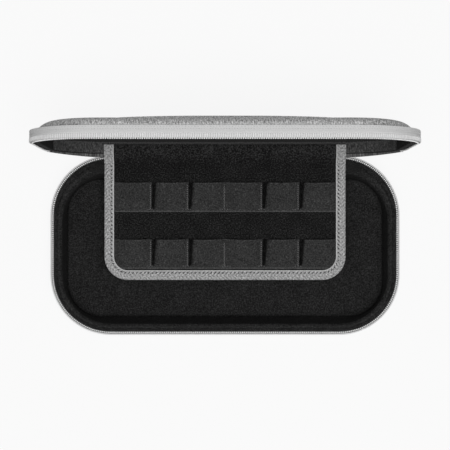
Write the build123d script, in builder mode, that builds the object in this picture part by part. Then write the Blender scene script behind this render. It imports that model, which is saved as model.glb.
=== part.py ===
import os
from math import cos, radians, sin

from build123d import *

# Zipped travel holder, standing open with its lid upright.
# The origin is the middle of the tray's base, +Z is up and the hinge lies along the rear (+Y) side.
# All lengths are in millimetres and all angles in degrees.

# Rim outline, shared by the tray and the lid
case_length = 296.0
case_width = 152.0
corner_radius = 51.0
tray_height = 26.0
lid_depth = 16.8
lid_open_angle = 91.0

# Moulded walls
shell_wall = 2.5
tray_band = 13.0
tray_taper = 12.0
tray_edge_round = 11.0
lid_band = 10.7
lid_taper = 50.0
lid_edge_round = 16.0
seam_gap = 0.1
lining_gap = 0.2

# Domed panel on the lid, inside a moulded groove
panel_end_margin = 53.0
panel_side_margin = 12.0
panel_corner = 24.0
panel_height = 1.8
panel_end_ease = 52.0
panel_side_ease = 5.5
panel_profile = ((0.2, 0.3), (0.55, 0.72), (1.0, 1.0))
groove_width = 2.2
groove_depth = 0.6

# Zip
tape_thickness = 0.9
tape_width = 10.5
teeth_height = 1.85
teeth_width = 2.7
teeth_inset = 0.1
teeth_round = 0.5
closing_gap = 0.15
zip_run = 29.0
chain_height = 4.6
chain_thickness = 1.4
chain_margin = 1.0
chain_rise = 5.0
end_stop_length = 4.0
end_stop_height = 8.0
end_stop_thickness = 1.7

# Tray insert
ledge_depth = 1.0
ledge_ends = 10.0
ledge_front = 9.3
ledge_rear = 14.7
recess_corner = 41.0
end_draft = 1.5
side_draft = 4.5
floor_corner = 29.0
floor_height = 6.0
recess_round = 1.6

# Lid lining
cavity_wall = 1.5
cavity_depth = 10.0
cove_radius = 2.5

# Rear hinge cloth
spine_lining_half_length = 115.0
spine_lining_width = 11.0
spine_lining_thickness = 0.55
root_thickness = 1.2
root_reach = 7.6
root_start = 0.6
root_gap = 0.5

# Flap
flap_overhang = 5.0
flap_length = 98.1
flap_setback = 7.4
flap_corner = 20.0
flap_clearance = 0.4
flap_thickness = 3.6
binding_width = 8.3
binding_thickness = 0.6
binding_round = 1.2

# Pockets
pocket_columns = 6
pocket_height = 25.0
upper_mouth_setback = 15.6
row_spacing = 48.0
pocket_cloth = 0.9
pocket_seam = 1.6
mouth_rise = 4.6
bottom_rise = 1.9

# Sliders and pulls
slider_length = 9.5
slider_height = 7.6
slider_thickness = 3.0
slider_edge = 0.7
slider_gap = 0.2
slider_park_gap = 0.15
bail_length = 6.4
bail_height = 3.0
bail_width = 1.8
bail_wall = 0.8
pull_length = 22.0
pull_width = 6.0
pull_thickness = 1.0
pull_bar = 1.0
pull_corner = 1.6
pull_window = 4.6
pull_arm = 1.2
pull_hole = 1.4
pull_edge = 0.3

# Places worked out from the sizes above
hinge_y = case_width / 2
shell_inset = tape_thickness + seam_gap
insert_inset = shell_inset + shell_wall + lining_gap
teeth_inner = teeth_inset + teeth_width
flange_inset = teeth_inner + lining_gap
cavity_inset = insert_inset + cavity_wall
teeth_depth = closing_gap + teeth_height
rim_step = teeth_depth + lining_gap
straight_half = case_length / 2 - corner_radius
spine_half_length = straight_half - zip_run
chain_start = spine_half_length + seam_gap + end_stop_length / 2
chain_straight_end = straight_half - chain_margin
teeth_end = chain_straight_end + chain_rise
chain_z = tray_height - (teeth_depth + tape_width) / 2
recess_length = case_length - 2 * ledge_ends
recess_width = case_width - ledge_front - ledge_rear
recess_shift = (ledge_front - ledge_rear) / 2
flap_width = 2 * (straight_half + flap_overhang)
flap_rear = hinge_y - flap_setback
flap_front = flap_rear - flap_length
flap_bottom = tray_height + flap_clearance
panel_bottom = flap_bottom + binding_thickness
panel_top = flap_bottom + flap_thickness - binding_thickness
pocket_row = flap_width - 2 * (binding_width + seam_gap)
pocket_pitch = pocket_row / pocket_columns
upper_mouth = flap_rear - upper_mouth_setback
lower_mouth = upper_mouth - row_spacing
slider_park = chain_start + (end_stop_length + slider_length) / 2 + slider_park_gap
slider_face = hinge_y + slider_gap
bail_face = slider_face + slider_thickness
pull_pivot_y = bail_face + (bail_height - bail_wall) / 2

# The lid's plane lies on its rim at the middle of the opening, with depth measured along its normal.
# The tray's plane does the same downwards, so one set of functions shapes both halves.
lid_normal = Vector(0, sin(radians(lid_open_angle)), cos(radians(lid_open_angle)))
lid_rearward = Vector(0, cos(radians(lid_open_angle)), -sin(radians(lid_open_angle)))
hinge_point = Vector(0, hinge_y, tray_height)
lid_plane = Plane(hinge_point - lid_rearward * hinge_y, (1, 0, 0), lid_normal)
tray_plane = Plane((0, 0, tray_height), (-1, 0, 0), (0, 0, -1))


def rim_outline(inset):
    RectangleRounded(case_length - 2 * inset, case_width - 2 * inset, corner_radius - inset)


def far_face(part, plane):
    return part.faces().sort_by(Axis(plane.origin, plane.z_dir))[-1]


def pan(plane, inset, near, band, far, taper, rounding):
    # A straight band below the rim, then a drafted wall with a rounded edge round the flat face
    with BuildPart() as block:
        with BuildSketch(plane.offset(near)):
            rim_outline(inset)
        extrude(amount=band - near)
        with BuildSketch(plane.offset(band)):
            rim_outline(inset)
        extrude(amount=far - band, taper=taper)
        fillet(far_face(block, plane).edges(), rounding)
    return block.part


def rim_ring(plane, outer, inner, near, far):
    with BuildPart() as ring:
        with BuildSketch(plane.offset(near)):
            rim_outline(outer)
        extrude(amount=far - near)
        with BuildSketch(plane.offset(near)):
            rim_outline(inner)
        extrude(amount=far - near, mode=Mode.SUBTRACT)
    return ring.part


def rear_gap(plane, half_length):
    # A block that takes a ring away from the middle of the hinge side
    with BuildPart() as block:
        with BuildSketch(plane.offset(-tray_height)):
            with Locations((0, case_width / 2)):
                Rectangle(2 * half_length, corner_radius)
        extrude(amount=2 * tray_height)
    return block.part


def moulded_shell(plane, band, depth, taper, rounding):
    inner_inset = shell_inset + shell_wall
    inner_depth = depth - shell_wall
    with BuildPart() as shell:
        add(pan(plane, shell_inset, rim_step, band, depth, taper, rounding))
        hollow = pan(plane, inner_inset, 0, band, inner_depth, taper, rounding - shell_wall)
        add(hollow, mode=Mode.SUBTRACT)
    return shell.part


def padded_liner(plane, band, depth, taper, rounding):
    # Fills the shell and turns out over its edge as far as the zip teeth
    liner_depth = depth - shell_wall - lining_gap
    liner_round = rounding - shell_wall - lining_gap
    with BuildPart() as liner:
        add(pan(plane, insert_inset, ledge_depth, band, liner_depth, taper, liner_round))
        add(rim_ring(plane, flange_inset, cavity_inset, ledge_depth, rim_step - seam_gap))
    return liner.part


def panel_outline(end_inset, side_inset):
    length = case_length - 2 * (panel_end_margin + end_inset)
    width = case_width - 2 * (panel_side_margin + side_inset)
    RectangleRounded(length, width, panel_corner - side_inset)


# Tray
with BuildPart() as tray_shell:
    add(moulded_shell(tray_plane, tray_band, tray_height, tray_taper, tray_edge_round))

with BuildPart() as tray_insert:
    add(padded_liner(tray_plane, tray_band, tray_height, tray_taper, tray_edge_round))
    with BuildSketch(tray_plane.offset(ledge_depth)):
        with Locations((0, recess_shift)):
            RectangleRounded(recess_length, recess_width, recess_corner)
    with BuildSketch(tray_plane.offset(tray_height - floor_height)):
        with Locations((0, recess_shift)):
            RectangleRounded(
                recess_length - 2 * end_draft, recess_width - 2 * side_draft, floor_corner
            )
    loft(mode=Mode.SUBTRACT)
    ledge = tray_insert.faces().filter_by(Axis.Z).sort_by(Axis.Z)[-1]
    fillet(ledge.inner_wires()[0].edges(), recess_round)

with BuildPart() as tray_zip_tape:
    add(rim_ring(tray_plane, 0, tape_thickness, teeth_depth, tape_width))
    add(rear_gap(tray_plane, spine_half_length + seam_gap), mode=Mode.SUBTRACT)

with BuildPart() as tray_zip_teeth:
    add(rim_ring(tray_plane, teeth_inset, teeth_inner, closing_gap, teeth_depth))
    fillet(tray_zip_teeth.faces().sort_by(Axis.Z)[-1].edges(), teeth_round)
    add(rear_gap(tray_plane, teeth_end), mode=Mode.SUBTRACT)

# Lid
with BuildPart() as lid_shell:
    add(moulded_shell(lid_plane, lid_band, lid_depth, lid_taper, lid_edge_round))
    with BuildSketch(lid_plane.offset(lid_depth)):
        panel_outline(-groove_width, -groove_width)
    extrude(amount=-groove_depth, mode=Mode.SUBTRACT)
    # The panel rises slowly from its ends and quickly from its long sides
    with BuildSketch(lid_plane.offset(lid_depth - groove_depth)):
        panel_outline(0, 0)
    for ease, rise in panel_profile:
        with BuildSketch(lid_plane.offset(lid_depth + rise * panel_height)):
            panel_outline(ease * panel_end_ease, ease * panel_side_ease)
    loft()

with BuildPart() as lid_lining:
    add(padded_liner(lid_plane, lid_band, lid_depth, lid_taper, lid_edge_round))
    with BuildSketch(lid_plane.offset(ledge_depth)):
        rim_outline(cavity_inset)
    extrude(amount=cavity_depth, mode=Mode.SUBTRACT)
    cavity_faces = lid_lining.faces().filter_by(Axis(lid_plane.origin, lid_normal))
    ceiling = cavity_faces.sort_by(Axis(lid_plane.origin, lid_normal))[-2]
    fillet(ceiling.edges(), cove_radius)

with BuildPart() as lid_zip_tape:
    add(rim_ring(lid_plane, 0, tape_thickness, teeth_depth, tape_width))
    add(rear_gap(lid_plane, spine_half_length + seam_gap), mode=Mode.SUBTRACT)

with BuildPart() as lid_zip_teeth:
    add(rim_ring(lid_plane, teeth_inset, teeth_inner, closing_gap, teeth_depth))
    fillet(lid_zip_teeth.faces().sort_by(Axis(lid_plane.origin, lid_normal))[0].edges(), teeth_round)
    add(rear_gap(lid_plane, teeth_end), mode=Mode.SUBTRACT)

# Cloth at the hinge
with BuildPart() as hinge_spine:
    tape_low = tray_height - tape_width
    lid_leg = hinge_point + lid_normal * tape_width
    lid_leg_inside = lid_leg - lid_rearward * tape_thickness
    with BuildSketch(Plane.YZ):
        with BuildLine():
            Polyline(
                (hinge_y - tape_thickness, tape_low),
                (hinge_y, tape_low),
                (hinge_y, tray_height),
                (lid_leg.Y, lid_leg.Z),
                (lid_leg_inside.Y, lid_leg_inside.Z),
                (hinge_y - tape_thickness, tray_height + tape_thickness),
                close=True,
            )
        make_face()
    extrude(amount=spine_half_length, both=True)

with BuildPart() as spine_lining:
    ledge_height = tray_height - ledge_depth
    with BuildSketch(Plane.XY.offset(ledge_height)):
        rim_outline(flange_inset)
        with Locations((0, hinge_y - flange_inset)):
            Rectangle(
                2 * spine_lining_half_length, 2 * spine_lining_width, mode=Mode.INTERSECT
            )
    extrude(amount=spine_lining_thickness)

# Cloth that joins the flap to the lid: from the flap's rear edge up onto the lid's hinge-side wall
with BuildPart() as flap_root:
    root_line = hinge_y - cavity_inset - root_gap - root_thickness / 2
    lid_start = lid_plane.from_local_coords((0, root_line, root_start))
    lid_end = lid_plane.from_local_coords((0, root_line, root_start + root_reach))
    with BuildSketch(Plane.YZ):
        with BuildLine() as root_path:
            Polyline(
                (flap_rear + root_thickness / 2, (panel_bottom + panel_top) / 2),
                (lid_start.Y, lid_start.Z),
                (lid_end.Y, lid_end.Z),
            )
        trace(root_path.line, line_width=root_thickness)
    extrude(amount=flap_width / 2, both=True)


# Flap
def flap_outline(inset):
    with BuildSketch(mode=Mode.PRIVATE) as outline:
        with Locations((0, flap_front + inset)):
            Rectangle(
                flap_width - 2 * inset,
                flap_rear - flap_front - inset,
                align=(Align.CENTER, Align.MIN),
            )
        fillet(outline.vertices().group_by(Axis.Y)[0], flap_corner - inset)
    return outline.sketch


with BuildPart() as flap_panel:
    with BuildSketch(Plane.XY.offset(panel_bottom)):
        add(flap_outline(binding_thickness))
    extrude(amount=panel_top - panel_bottom)

with BuildPart() as flap_binding:
    with BuildSketch(Plane.XY.offset(flap_bottom)):
        add(flap_outline(0))
    extrude(amount=flap_thickness)
    rear_edges = flap_binding.faces().sort_by(Axis.Y)[-1].edges()
    fillet(flap_binding.edges().filter_by(Axis.Z, reverse=True) - rear_edges, binding_round)
    with BuildSketch(Plane.XY.offset(flap_bottom)):
        add(flap_outline(binding_width))
    extrude(amount=flap_thickness, mode=Mode.SUBTRACT)
    with BuildSketch(Plane.XY.offset(panel_bottom)):
        add(flap_outline(binding_thickness))
    extrude(amount=panel_top - panel_bottom, mode=Mode.SUBTRACT)


# Pockets: one strip of cloth for each row, sewn down between the pockets and along the bottom
def pocket_arch(column, y, width, rise):
    middle = (column - (pocket_columns - 1) / 2) * pocket_pitch
    section = Plane((middle, y, panel_top), (1, 0, 0), (0, -1, 0))
    with BuildSketch(section, mode=Mode.PRIVATE) as arch:
        with BuildLine():
            foot = Line((-width / 2, 0), (width / 2, 0))
            ThreePointArc(foot @ 0, (0, rise), foot @ 1)
        make_face()
    return arch.sketch.face()


def pocket_strip(mouth):
    bottom = mouth - pocket_height
    outer_width = pocket_pitch - pocket_seam
    inner_width = outer_width - 2 * pocket_cloth
    with BuildPart() as strip:
        with BuildSketch(Plane.XY.offset(panel_top)):
            with Locations((0, bottom)):
                Rectangle(pocket_row, pocket_height, align=(Align.CENTER, Align.MIN))
        extrude(amount=pocket_cloth)
        for column in range(pocket_columns):
            wide = pocket_arch(column, mouth, outer_width, mouth_rise)
            low = pocket_arch(column, bottom, outer_width, bottom_rise)
            loft([wide, low])
        for column in range(pocket_columns):
            hollow_end = bottom + pocket_cloth
            wide = pocket_arch(column, mouth, inner_width, mouth_rise - pocket_cloth)
            low = pocket_arch(column, hollow_end, inner_width, bottom_rise - pocket_cloth)
            loft([wide, low], mode=Mode.SUBTRACT)
        with BuildSketch(Plane.XY.offset(panel_top)):
            add(flap_outline(binding_width + seam_gap))
        extrude(amount=2 * mouth_rise, mode=Mode.INTERSECT)
    return strip.part


with BuildPart() as upper_pocket_strip:
    add(pocket_strip(upper_mouth))

with BuildPart() as lower_pocket_strip:
    add(pocket_strip(lower_mouth))


# Ends of the zip on the tray's rear wall, with a slider and its pull on each
def zip_tail(side):
    rear_wall = Plane((0, hinge_y, 0), (-1, 0, 0), (0, 1, 0))
    rise_end = (teeth_end, tray_height - rim_step)
    with BuildPart() as tail:
        with BuildSketch(rear_wall):
            with BuildLine() as run:
                straight = Line((-side * chain_start, chain_z), (-side * chain_straight_end, chain_z))
                Line(straight @ 1, (-side * rise_end[0], rise_end[1] - chain_height / 2))
            trace(run.line, line_width=chain_height)
        extrude(amount=chain_thickness)
        with BuildSketch(rear_wall):
            with Locations((-side * chain_start, chain_z)):
                RectangleRounded(end_stop_length, end_stop_height, end_stop_length / 4)
        extrude(amount=end_stop_thickness)
    return tail.part


def zip_slider(side):
    across = Plane((side * slider_park, slider_face, chain_z), (0, 1, 0), (1, 0, 0))
    with BuildPart() as slider:
        with BuildSketch(across):
            Rectangle(slider_thickness, slider_height, align=(Align.MIN, Align.CENTER))
        extrude(amount=slider_length / 2, both=True)
        fillet(slider.faces().sort_by(Axis.Y)[-1].edges(), slider_edge)
        with BuildSketch(across):
            Rectangle(
                chain_thickness, chain_height + 2 * slider_gap, align=(Align.MIN, Align.CENTER)
            )
        extrude(amount=slider_length, both=True, mode=Mode.SUBTRACT)
        with BuildSketch(Plane((side * slider_park, bail_face, chain_z), (1, 0, 0), (0, 0, 1))):
            Rectangle(bail_length, bail_height, align=(Align.CENTER, Align.MIN))
            Rectangle(
                bail_length - 2 * bail_wall,
                bail_height - bail_wall,
                align=(Align.CENTER, Align.MIN),
                mode=Mode.SUBTRACT,
            )
        extrude(amount=bail_width / 2, both=True)
    return slider.part


def zip_pull(side):
    flat = Plane((side * slider_park, pull_pivot_y, chain_z), (-side, 0, 0), (0, 1, 0))
    with BuildPart() as pull:
        with BuildSketch(flat) as tab:
            Rectangle(
                pull_length - pull_bar / 2, pull_width, align=(Align.MIN, Align.CENTER)
            )
            fillet(tab.vertices().group_by(Axis.X)[-1], pull_corner)
            Rectangle(
                pull_bar / 2 + pull_window,
                pull_width - 2 * pull_arm,
                align=(Align.MIN, Align.CENTER),
                mode=Mode.SUBTRACT,
            )
            with Locations((pull_length - pull_width / 2, 0)):
                Circle(pull_hole, mode=Mode.SUBTRACT)
        extrude(amount=pull_thickness / 2, both=True)
        faces = pull.faces().sort_by(Axis.Y)
        chamfer(faces[0].edges() + faces[-1].edges(), pull_edge)
        # The round bar that the pull turns on, inside the slider's loop
        with BuildSketch(Plane((side * slider_park, pull_pivot_y, chain_z))):
            Circle(pull_bar / 2)
        extrude(amount=pull_width / 2, both=True)
    return pull.part


pieces = {
    "tray_shell": tray_shell.part,
    "tray_insert": tray_insert.part,
    "tray_zip_tape": tray_zip_tape.part,
    "tray_zip_teeth": tray_zip_teeth.part,
    "hinge_spine": hinge_spine.part,
    "spine_lining": spine_lining.part,
    "lid_shell": lid_shell.part,
    "lid_lining": lid_lining.part,
    "lid_zip_tape": lid_zip_tape.part,
    "lid_zip_teeth": lid_zip_teeth.part,
    "flap_root": flap_root.part,
    "flap_panel": flap_panel.part,
    "flap_binding": flap_binding.part,
    "upper_pocket_strip": upper_pocket_strip.part,
    "lower_pocket_strip": lower_pocket_strip.part,
}
for name, side in (("left", -1), ("right", 1)):
    pieces[f"zip_tail_{name}"] = zip_tail(side)
    pieces[f"slider_{name}"] = zip_slider(side)
    pieces[f"pull_{name}"] = zip_pull(side)

os.makedirs("parts", exist_ok=True)
for name, piece in pieces.items():
    piece.label = name
    export_step(piece, f"parts/{name}.step")
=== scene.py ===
from math import cos, pi, radians, sin

import bpy
import numpy as np
from mathutils import Matrix, Vector, noise


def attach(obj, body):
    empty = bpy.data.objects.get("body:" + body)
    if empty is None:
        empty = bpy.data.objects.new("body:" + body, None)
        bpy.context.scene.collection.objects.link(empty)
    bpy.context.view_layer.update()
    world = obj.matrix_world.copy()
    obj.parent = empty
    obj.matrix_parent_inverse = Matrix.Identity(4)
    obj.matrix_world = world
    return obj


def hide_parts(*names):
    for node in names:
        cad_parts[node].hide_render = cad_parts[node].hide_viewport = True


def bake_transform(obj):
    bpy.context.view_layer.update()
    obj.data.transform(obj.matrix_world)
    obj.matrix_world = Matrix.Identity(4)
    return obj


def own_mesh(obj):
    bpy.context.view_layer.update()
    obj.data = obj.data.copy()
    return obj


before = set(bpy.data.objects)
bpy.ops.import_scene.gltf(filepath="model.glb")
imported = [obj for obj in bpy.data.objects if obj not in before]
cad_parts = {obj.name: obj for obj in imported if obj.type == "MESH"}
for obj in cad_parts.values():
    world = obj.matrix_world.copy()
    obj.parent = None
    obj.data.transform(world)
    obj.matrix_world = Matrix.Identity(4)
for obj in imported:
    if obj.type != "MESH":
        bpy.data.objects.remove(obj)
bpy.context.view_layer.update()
print("frame loaded")

mm = 0.001  # sizes below are in millimetres, as on the drawing

# Both halves share one rim; each is modelled with its rim on z = 0 and its depth along +z
rim = {"length": 296, "width": 152, "corner": 51, "cornerSteps": 18}
halves = {"trayHeight": 26, "hingeY": 76, "lidAngle": 91}

lidTurn = Matrix.Rotation(radians(-halves["lidAngle"]), 4, "X")
lidMiddle = Vector((0, halves["hingeY"] * mm, halves["trayHeight"] * mm))
lidMiddle -= lidTurn @ Vector((0, halves["hingeY"] * mm, 0))
lidPlace = Matrix.Translation(lidMiddle) @ lidTurn
trayPlace = Matrix.Translation((0, 0, halves["trayHeight"] * mm)) @ Matrix.Rotation(pi, 4, "Y")


# Selection and placing
def clearSelection():
    if bpy.context.object and bpy.context.object.mode != "OBJECT":
        bpy.ops.object.mode_set(mode="OBJECT")
    bpy.ops.object.select_all(action="DESELECT")


def activate(piece):
    clearSelection()
    piece.select_set(True)
    bpy.context.view_layer.objects.active = piece


def named(piece, name):
    piece.name = name
    piece.data.name = name
    return piece


def points(piece):
    flat = np.empty(len(piece.data.vertices) * 3)
    piece.data.vertices.foreach_get("co", flat)
    return flat.reshape(-1, 3) / mm


def movePoints(piece, places):
    piece.data.vertices.foreach_set("co", (places * mm).ravel())
    piece.data.update()


def edit(piece, kind, mask, operation, **options):  # one mesh operation on what the mask picks, None for all
    activate(piece)
    parts = {"VERT": piece.data.vertices, "EDGE": piece.data.edges, "FACE": piece.data.polygons}
    for part in parts.values():
        part.foreach_set("select", np.zeros(len(part), bool))
    picked = np.ones(len(parts[kind]), bool) if mask is None else np.asarray(mask, bool)
    parts[kind].foreach_set("select", picked)
    bpy.context.tool_settings.mesh_select_mode = [kind == k for k in parts]
    bpy.ops.object.mode_set(mode="EDIT")
    operation(**options)
    bpy.ops.object.mode_set(mode="OBJECT")


def removeParts(piece, kind, mask):
    edit(piece, kind, mask, bpy.ops.mesh.delete, type=kind)


def cutAcross(piece, spot, normal, **options):  # bisects the whole mesh at a plane
    spot = [s * mm for s in spot]
    edit(piece, "VERT", None, bpy.ops.mesh.bisect, plane_co=spot, plane_no=normal, **options)


def trimEnds(piece, half):
    for side in (-1, 1):
        cutAcross(piece, (side * half, 0, 0), (side, 0, 0), clear_outer=True)


def paintShade(piece, values):  # read by the pile materials: below 0 darker with painted shade, above 0 paler with painted light
    piece.data.attributes.new("shade", "FLOAT", "POINT").data.foreach_set("value", values)


def setDown(piece, spot, turn=(0, 0, 0)):  # spot in millimetres, turn in degrees
    piece.location = [s * mm for s in spot]
    piece.rotation_euler = [radians(t) for t in turn]
    activate(piece)
    bpy.ops.object.transform_apply()


def place(piece, matrix):  # moves a finished mesh into its half, object left at the origin
    activate(piece)
    piece.matrix_world = matrix
    bpy.ops.object.transform_apply()
    return piece


def modify(piece, kind, **settings):  # adds a modifier and applies it
    made = piece.modifiers.new(kind.lower(), kind)
    for key, value in settings.items():
        setattr(made, key, value)
    activate(piece)
    bpy.ops.object.modifier_apply(modifier=made.name)


def smooth(piece, angle=40):
    activate(piece)
    bpy.ops.object.shade_smooth_by_angle(angle=radians(angle))


def outwards(piece):
    edit(piece, "VERT", None, bpy.ops.mesh.remove_doubles, threshold=1e-6)
    edit(piece, "VERT", None, bpy.ops.mesh.normals_make_consistent, inside=False)


def thicken(piece, wall, side=-1):  # side -1 grows inwards from the drawn face, +1 outwards
    modify(piece, "SOLIDIFY", thickness=wall * mm, offset=side, use_even_offset=True)


def roundEdges(piece, width, segments=2, angle=40):
    limit = {"limit_method": "ANGLE", "angle_limit": radians(angle)}
    modify(piece, "BEVEL", width=width * mm, segments=segments, **limit)


# Rounded outlines and lofts
def addOutline(length, width, corner, height, shift=0, steps=rim["cornerSteps"]):  # in edit mode
    bpy.ops.mesh.select_all(action="DESELECT")
    middle = (0, shift * mm, height * mm)
    bpy.ops.mesh.primitive_plane_add(size=1, location=middle)
    bpy.ops.transform.resize(value=(length * mm, width * mm, 1), center_override=middle)
    bpy.ops.mesh.bevel(offset=corner * mm, segments=steps, affect="VERTICES")


def startMesh(name):
    clearSelection()
    mesh = bpy.data.meshes.new(name)
    piece = bpy.data.objects.new(name, mesh)
    bpy.context.scene.collection.objects.link(piece)
    activate(piece)
    bpy.context.tool_settings.mesh_select_mode = (True, False, False)
    bpy.ops.object.mode_set(mode="EDIT")
    return piece


def insetRow(outline, inset, height):
    return (outline["length"] - 2 * inset, outline["width"] - 2 * inset, outline["corner"] - inset, height)


def rimRow(inset, height):
    return insetRow(rim, inset, height)


def outlinePoints(length, width, corner, height, shift=0):  # in millimetres
    spots, steps = [], rim["cornerSteps"]
    for sideX, sideY, first in ((1, 1, 0), (-1, 1, 90), (-1, -1, 180), (1, -1, 270)):
        middleX, middleY = sideX * (length / 2 - corner), sideY * (width / 2 - corner) + shift
        for i in range(steps + 1):
            turn = radians(first + 90 * i / steps)
            spots.append((middleX + corner * cos(turn), middleY + corner * sin(turn), height))
    return np.array(spots)


def rowSpots(row):  # a row is either an outline's sizes or its points
    return row if isinstance(row, np.ndarray) else outlinePoints(*row)


def loft(name, rows, capEnd=True, capStart=False, capFacing=1):  # an outline extruded from row to row
    clearSelection()
    spots = rowSpots(rows[0])
    count = len(spots)
    bpy.ops.mesh.primitive_circle_add(vertices=count, radius=1)
    piece = named(bpy.context.object, name)
    movePoints(piece, spots)
    order = np.arange(count)
    for row in rows[1:]:
        total = len(piece.data.vertices)
        lastRow = [min(e.vertices) >= total - count for e in piece.data.edges]
        edit(piece, "EDGE", lastRow, bpy.ops.mesh.extrude_edges_move)
        co = points(piece)
        before, fresh = co[total - count : total], co[total:]
        order = order[[np.abs(before - spot).sum(1).argmin() for spot in fresh]]
        co[total:] = rowSpots(row)[order]
        movePoints(piece, co)
    total = len(piece.data.vertices)
    index = np.arange(total)
    for wanted, mask in ((capStart, index < count), (capEnd, index >= total - count)):
        if wanted:
            edit(piece, "VERT", mask, bpy.ops.mesh.edge_face_add)
    outwards(piece)
    cap = max(piece.data.polygons, key=lambda face: face.center.z)
    if capEnd and cap.normal.z * capFacing < 0:
        edit(piece, "FACE", None, bpy.ops.mesh.flip_normals)
    return piece


def arcRows(middleInset, middleHeight, radius, first, last, steps):  # a rounded edge as (inset, height)
    turns = [radians(first + (last - first) * i / steps) for i in range(steps + 1)]
    return [(middleInset - radius * cos(t), middleHeight + radius * sin(t)) for t in turns]


# UV maps in metres
def writeUv(piece, perLoop):
    layer = piece.data.uv_layers.new(name="cloth") if not piece.data.uv_layers else piece.data.uv_layers[0]
    layer.data.foreach_set("uv", np.asarray(perLoop, float).ravel())


def boxUv(piece):  # cloth laid on each side of the piece, threads running the same way
    co, uv = points(piece) * mm, []
    for face in piece.data.polygons:
        n = [abs(x) for x in face.normal]
        axes = [0, 1] if n[2] >= max(n[:2]) else [0, 2] if n[1] >= n[0] else [1, 2]
        uv += [co[v][axes] for v in face.vertices]
    writeUv(piece, uv)


def pointUv(piece, u, v):  # from one value for each point, in millimetres
    numbers = np.empty(len(piece.data.loops), int)
    piece.data.loops.foreach_get("vertex_index", numbers)
    writeUv(piece, np.stack([u[numbers], v[numbers]], 1) * mm)


def alongOutline(co, shape):  # way round a rounded rectangle from its front middle, and inset from its edge
    corner = shape["corner"]
    halfX, halfY = shape["length"] / 2 - corner, shape["width"] / 2 - corner
    x, y = abs(co[:, 0]), co[:, 1]
    overX, overY = x - halfX, abs(y) - halfY
    quarter, lift = corner * pi / 2, np.arctan2(overX, overY)
    rear = halfX + quarter + 2 * halfY
    straight = np.where(y < 0, x, rear + quarter - overX)
    bent = np.where(y < 0, halfX + corner * lift, rear + corner * (pi / 2 - lift))
    where = [overX <= 0, overY <= 0]  # front or rear, left or right, or else a corner
    run = np.select(where, [straight, halfX + quarter + y + halfY], bent)
    fromSides = [shape["width"] / 2 - abs(y), shape["length"] / 2 - x]
    inset = np.select(where, fromSides, corner - np.hypot(overX, overY))
    return np.where(co[:, 0] < 0, -run, run), inset


def outlineUv(piece, shape=rim, shift=0, across="height"):
    co = points(piece) - np.array([0, shift, 0])
    along, inset = alongOutline(co, shape)
    pointUv(piece, along, co[:, 2] if across == "height" else inset)


# Small things repeated along a line
def rimPath(length, width, corner, height, shift=0, cut=None):  # open at the rear, or cut off there
    path = startMesh("path")
    addOutline(length, width, corner, height, shift)
    if cut is not None:
        bpy.ops.mesh.bisect(plane_co=(0, cut * mm, 0), plane_no=(0, 1, 0), clear_outer=True)
        bpy.ops.mesh.select_all(action="SELECT")
    bpy.ops.mesh.delete(type="ONLY_FACE")
    bpy.ops.object.mode_set(mode="OBJECT")
    co = points(path)
    rear = co[:, 1].max() - 0.01
    removeParts(path, "EDGE", [all(co[v][1] > rear for v in e.vertices) for e in path.data.edges])
    lengths = [np.linalg.norm(np.subtract(*[co[v] for v in e.vertices])) for e in path.data.edges]
    bpy.ops.object.convert(target="CURVE")
    return bpy.context.object, sum(lengths)


def bar(name, size, edge, centre=(0, 0, 0)):  # a small rounded bar
    clearSelection()
    bpy.ops.mesh.primitive_cube_add(size=1, location=[c * mm for c in centre])
    piece = named(bpy.context.object, name)
    piece.scale = [s * mm for s in size]
    bpy.ops.object.transform_apply()
    edit(piece, "EDGE", None, bpy.ops.mesh.bevel, offset=edge * mm, segments=1, affect="EDGES")
    return piece


def repeat(unit, step, count):
    offset = {"use_constant_offset": True, "constant_offset_displace": [s * mm for s in step]}
    modify(unit, "ARRAY", count=count, use_relative_offset=False, **offset)


def runAlong(name, kind, row, height, turn=(0, 0, 0), cut=None):  # bars of one kind along an outline
    path, length = rimPath(*row, cut=cut)
    unit = bar(name, kind["size"], kind["edge"])
    setDown(unit, (kind["pitch"] / 2, 0, height), turn)
    repeat(unit, (kind["pitch"], 0, 0), int(length / kind["pitch"]))
    modify(unit, "CURVE", object=path, deform_axis="POS_X")
    bpy.data.objects.remove(path)
    return unit


def joinPieces(name, pieces):
    clearSelection()
    for piece in pieces:
        piece.select_set(True)
    bpy.context.view_layer.objects.active = pieces[0]
    bpy.ops.object.join()
    return named(bpy.context.object, name)


def copyPiece(piece, name):
    activate(piece)
    bpy.ops.object.duplicate(linked=False)
    return named(bpy.context.object, name)


# Materials
def addNode(tree, kind, inputs=None, **settings):
    made = tree.nodes.new(kind)
    for key, value in settings.items():
        setattr(made, key, value)
    for key, value in (inputs or {}).items():
        if isinstance(value, bpy.types.NodeSocket):
            tree.links.new(value, made.inputs[key])
        else:
            made.inputs[key].default_value = value
    return made


def startMaterial(name, roughness, **sockets):
    material = bpy.data.materials.new(name)
    material.use_nodes = True
    tree = material.node_tree
    shader = tree.nodes["Principled BSDF"]
    shader.inputs["Roughness"].default_value = roughness
    for key, value in sockets.items():
        shader.inputs[key.replace("_", " ")].default_value = value
    return material, tree, shader


def coordinates(tree, source, scale=(1000, 1000, 1000)):  # source UV or Object, scaled to millimetres
    where = addNode(tree, "ShaderNodeTexCoord")
    inputs = {"Vector": where.outputs[source], "Scale": scale}
    return addNode(tree, "ShaderNodeMapping", inputs).outputs["Vector"]


def noiseAt(tree, vector, detail=2, rough=0.5, scale=1):
    inputs = {"Vector": vector, "Scale": scale, "Detail": detail, "Roughness": rough}
    return addNode(tree, "ShaderNodeTexNoise", inputs).outputs["Fac"]


def mathOf(tree, operation, a, b=0.0):
    return addNode(tree, "ShaderNodeMath", {0: a, 1: b}, operation=operation).outputs[0]


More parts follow.
